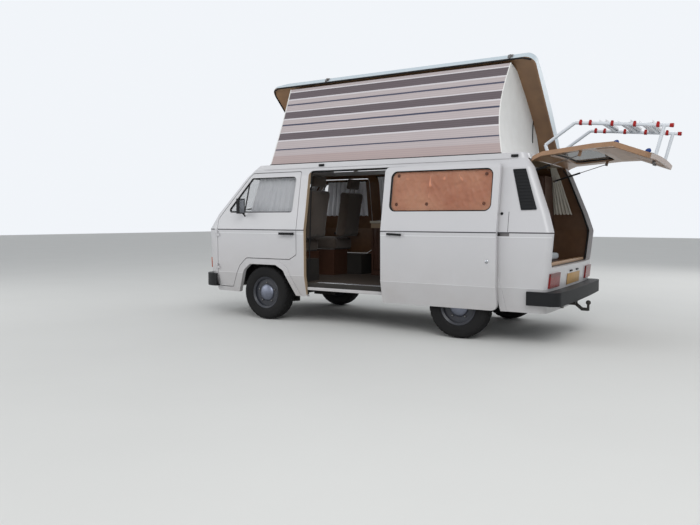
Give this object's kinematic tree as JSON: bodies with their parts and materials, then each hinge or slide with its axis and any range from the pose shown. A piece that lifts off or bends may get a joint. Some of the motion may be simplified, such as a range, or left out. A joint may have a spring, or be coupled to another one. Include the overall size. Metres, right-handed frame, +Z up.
{
  "type": "camper van",
  "caption": "Rear-engined camper van with a side-hinged raising roof, a sliding side door, a lifting tailgate and a cycle rack.",
  "frame": {"origin": "on the ground below the middle of the whole van's box", "axes": "+X to the rear, +Z up, -Y to the van's left side; wheels stand at z = 0"},
  "size_m": [5.3859, 2.09, 2.8869],
  "materials": {
    "body_paint": "smooth gloss paint",
    "chassis_paint": "satin black underbody coat",
    "wheel_paint": "silver wheel paint",
    "rack_paint": "white powder coat",
    "roof_shell": "gelcoat on glass fibre",
    "black_plastic": "moulded grain",
    "lamp_red": "clear red lens",
    "lamp_glass": "fluted lens",
    "window_glass": "safety glass",
    "tyre_rubber": "tread rubber",
    "steel": "plain steel",
    "engine_alloy": "cast",
    "canvas": "woven stripes",
    "curtain_cloth": "woven cotton",
    "upholstery": "woven cloth",
    "cabinet_wood": "dark veneer",
    "worktop_laminate": "laminate"
  },
  "bodies": {
    "van": {"bench_cushions": "upholstery", "body_windows": "window_glass", "cab_seats": "upholstery", "dashboard": "black_plastic", "door_runners": "steel", "engine": "engine_alloy", "floor_pan": "body_paint", "front_axle": "chassis_paint", "front_bumper": "black_plastic", "front_grille": "black_plastic", "front_lamps": "lamp_glass", "furniture": "cabinet_wood", "left_side_panel": "body_paint", "nose_panel": "body_paint", "rear_axle": "chassis_paint", "rear_bumper": "black_plastic", "rear_panel": "body_paint", "right_side_panel": "body_paint", "roof_canvas": "canvas", "roof_pan": "body_paint", "sliding_door": "body_paint", "tail_lamps": "lamp_red", "tow_bar": "chassis_paint", "vent_louvres": "black_plastic", "window_curtains": "curtain_cloth", "worktop": "worktop_laminate"},
    "left_door": {"left_door_panel": "body_paint", "left_door_glass": "window_glass", "left_door_fittings": "black_plastic"},
    "right_door": {"right_door_panel": "body_paint", "right_door_glass": "window_glass", "right_door_fittings": "black_plastic"},
    "tailgate": {"tailgate_panel": "body_paint", "tailgate_glass": "window_glass", "cycle_rack": "rack_paint"},
    "pop_top": {"pop_top_roof": "roof_shell"},
    "left_hub": {"left_knuckle": "steel"},
    "right_hub": {"right_knuckle": "steel"},
    "front_left_wheel": {"front_left_tyre": "tyre_rubber", "front_left_rim": "wheel_paint"},
    "front_right_wheel": {"front_right_tyre": "tyre_rubber", "front_right_rim": "wheel_paint"},
    "rear_left_wheel": {"rear_left_tyre": "tyre_rubber", "rear_left_rim": "wheel_paint"},
    "rear_right_wheel": {"rear_right_tyre": "tyre_rubber", "rear_right_rim": "wheel_paint"},
    "left_barrel": {"left_strut_barrel": "black_plastic"},
    "right_barrel": {"right_strut_barrel": "black_plastic"},
    "left_rod": {"left_strut_rod": "steel"},
    "right_rod": {"right_strut_rod": "steel"},
    "steering": {"steering_wheel": "black_plastic"}
  },
  "joints": [
    {"name": "left_cab_door", "type": "hinge", "parent": "van", "child": "left_door", "pos_m": [-2.354, -0.932, 0.8], "axis": [0, 0, 1], "range_deg": [-65, 0]},
    {"name": "right_cab_door", "type": "hinge", "parent": "van", "child": "right_door", "pos_m": [-2.354, 0.932, 0.8], "axis": [0, 0, 1], "range_deg": [0, 65]},
    {"name": "tailgate_lift", "type": "hinge", "parent": "van", "child": "tailgate", "pos_m": [1.472, 0, 1.815], "axis": [0, 1, 0], "range_deg": [0, 74]},
    {"name": "roof_lift", "type": "hinge", "parent": "van", "child": "pop_top", "pos_m": [0, 0.75, 1.852], "axis": [1, 0, 0], "range_deg": [0, 41.3], "deforming": ["roof_canvas"]},
    {"name": "front_left_steer", "type": "hinge", "parent": "van", "child": "left_hub", "pos_m": [-1.64, -0.7, 0.3], "axis": [0, 0, 1], "range_deg": [-32, 32]},
    {"name": "front_right_steer", "type": "hinge", "parent": "van", "child": "right_hub", "pos_m": [-1.64, 0.7, 0.3], "axis": [0, 0, 1], "range_deg": [-32, 32]},
    {"name": "steering_turn", "type": "hinge", "parent": "van", "child": "steering", "pos_m": [-2.063, 0.4, 1.101], "axis": [0.6, 0, 0.8], "range_deg": [-576, 576]},
    {"name": "front_left_spin", "type": "hinge", "parent": "left_hub", "child": "front_left_wheel", "pos_m": [-1.64, -0.7925, 0.32], "axis": [0, 1, 0], "continuous": true},
    {"name": "rear_left_spin", "type": "hinge", "parent": "van", "child": "rear_left_wheel", "pos_m": [0.82, -0.7925, 0.32], "axis": [0, 1, 0], "continuous": true},
    {"name": "left_strut_swing", "type": "hinge", "parent": "van", "child": "left_barrel", "pos_m": [1.36, -0.625, 1.635], "axis": [0, 1, 0], "range_deg": [0, 65.61]},
    {"name": "left_strut_stroke", "type": "slide", "parent": "left_barrel", "child": "left_rod", "axis": [0.9577, 0, 0.2879], "range_m": [-0.247, 0]},
    {"name": "front_right_spin", "type": "hinge", "parent": "right_hub", "child": "front_right_wheel", "pos_m": [-1.64, 0.7925, 0.32], "axis": [0, 1, 0], "continuous": true},
    {"name": "rear_right_spin", "type": "hinge", "parent": "van", "child": "rear_right_wheel", "pos_m": [0.82, 0.7925, 0.32], "axis": [0, 1, 0], "continuous": true},
    {"name": "right_strut_swing", "type": "hinge", "parent": "van", "child": "right_barrel", "pos_m": [1.36, 0.625, 1.635], "axis": [0, 1, 0], "range_deg": [0, 65.61]},
    {"name": "right_strut_stroke", "type": "slide", "parent": "right_barrel", "child": "right_rod", "axis": [0.9577, 0, 0.2879], "range_m": [-0.247, 0]}
  ],
  "couplings": [
    {"joint": "front_right_steer", "follows": "front_left_steer", "ratio": 1},
    {"joint": "steering_turn", "follows": "front_left_steer", "ratio": 18},
    {"joint": "left_strut_swing", "follows": "tailgate_lift", "ratio": 0.8825},
    {"joint": "left_strut_stroke", "follows": "tailgate_lift", "m_per_rad": -0.1905},
    {"joint": "right_strut_swing", "follows": "tailgate_lift", "ratio": 0.8825},
    {"joint": "right_strut_stroke", "follows": "tailgate_lift", "m_per_rad": -0.1905}
  ]
}
